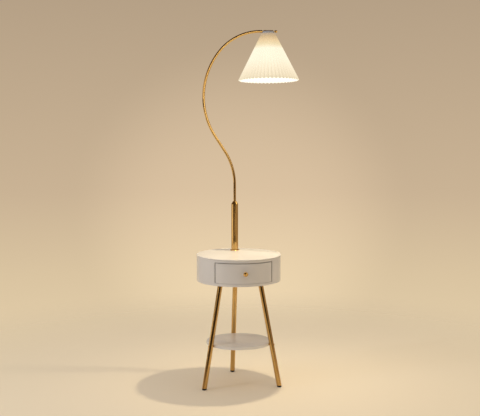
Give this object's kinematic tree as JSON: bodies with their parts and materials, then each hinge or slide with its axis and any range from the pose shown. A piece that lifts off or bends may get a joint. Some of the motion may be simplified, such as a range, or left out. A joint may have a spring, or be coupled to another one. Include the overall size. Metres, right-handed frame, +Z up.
{
  "type": "floor lamp with table",
  "caption": "Floor lamp with a swan-neck arm and a pleated cone shade on a round side table with a curved drawer, splayed tube legs and a low shelf.",
  "frame": {"origin": "bottom centre of the whole lamp's bounding box, on the floor", "axes": "+Z up; the drawer opens towards -Y; the arm reaches towards +X"},
  "size_m": [0.487, 0.4592, 1.61],
  "materials": {
    "painted_board": "white satin lacquer on board",
    "drawer_wood": "bare sanded board",
    "brass_tube": "brushed brass plating on steel",
    "brass_turned": "polished turned brass",
    "zinc_steel": "zinc plated",
    "rail_steel": "white powder coat",
    "black_foot": "black moulded cap",
    "rubber": "black rubber",
    "nylon": "natural nylon",
    "white_plastic": "white moulded",
    "shade_sheet": "translucent white pleated sheet",
    "opal_glass": "opal",
    "lamp_base": "rolled screw base"
  },
  "bodies": {
    "table": {"top_board": "painted_board", "side_shell": "painted_board", "bottom_board": "painted_board", "bottom_screws": "zinc_steel", "drawer_stop": "drawer_wood", "closing_bumpers": "rubber", "cable_grommet": "rubber", "leg_plugs": "zinc_steel", "leg_bolts": "zinc_steel", "shelf": "painted_board", "shelf_standoffs": "brass_turned", "shelf_screws": "brass_turned", "post_flange": "brass_turned", "post_tube": "brass_tube", "post_collar": "brass_turned", "swivel_bush": "nylon", "post_stud": "zinc_steel", "post_washer": "zinc_steel", "post_nut": "zinc_steel", "partition_left": "drawer_wood", "cabinet_rail_left": "rail_steel", "partition_right": "drawer_wood", "cabinet_rail_right": "rail_steel", "leg_rear": "brass_tube", "foot_cap_rear": "black_foot", "leg_front_left": "brass_tube", "foot_cap_front_left": "black_foot", "leg_front_right": "brass_tube", "foot_cap_front_right": "black_foot"},
    "drawer": {"drawer_front": "painted_board", "drawer_side_left": "drawer_wood", "drawer_side_right": "drawer_wood", "drawer_back": "drawer_wood", "drawer_base": "drawer_wood", "drawer_knob": "brass_turned", "knob_screw": "zinc_steel", "drawer_rail_left": "rail_steel", "drawer_rail_right": "rail_steel"},
    "arm": {"arm_tube": "brass_tube", "stop_ring": "zinc_steel", "end_pin": "brass_turned", "ball_nut": "brass_turned"},
    "head": {"tilt_barrel": "brass_turned", "shade_cap": "white_plastic", "lamp_nipple": "zinc_steel", "lamp_holder": "white_plastic", "shade_ring": "white_plastic", "shade_carrier": "white_plastic", "shade_top_ring": "white_plastic", "pleated_shade": "shade_sheet", "bulb_glass": "opal_glass", "bulb_base": "lamp_base"}
  },
  "joints": [
    {"name": "drawer_slide", "type": "slide", "parent": "table", "child": "drawer", "axis": [0, -1, 0], "range_m": [0, 0.15]},
    {"name": "arm_swivel", "type": "hinge", "parent": "table", "child": "arm", "pos_m": [-0.05202, 0.10541, 0.826], "axis": [0, 0, 1], "range_deg": [-165, 165]},
    {"name": "shade_tilt", "type": "hinge", "parent": "arm", "child": "head", "pos_m": [0.10352, 0.10541, 1.6037], "axis": [1, 0, 0], "range_deg": [-36, 44]}
  ]
}
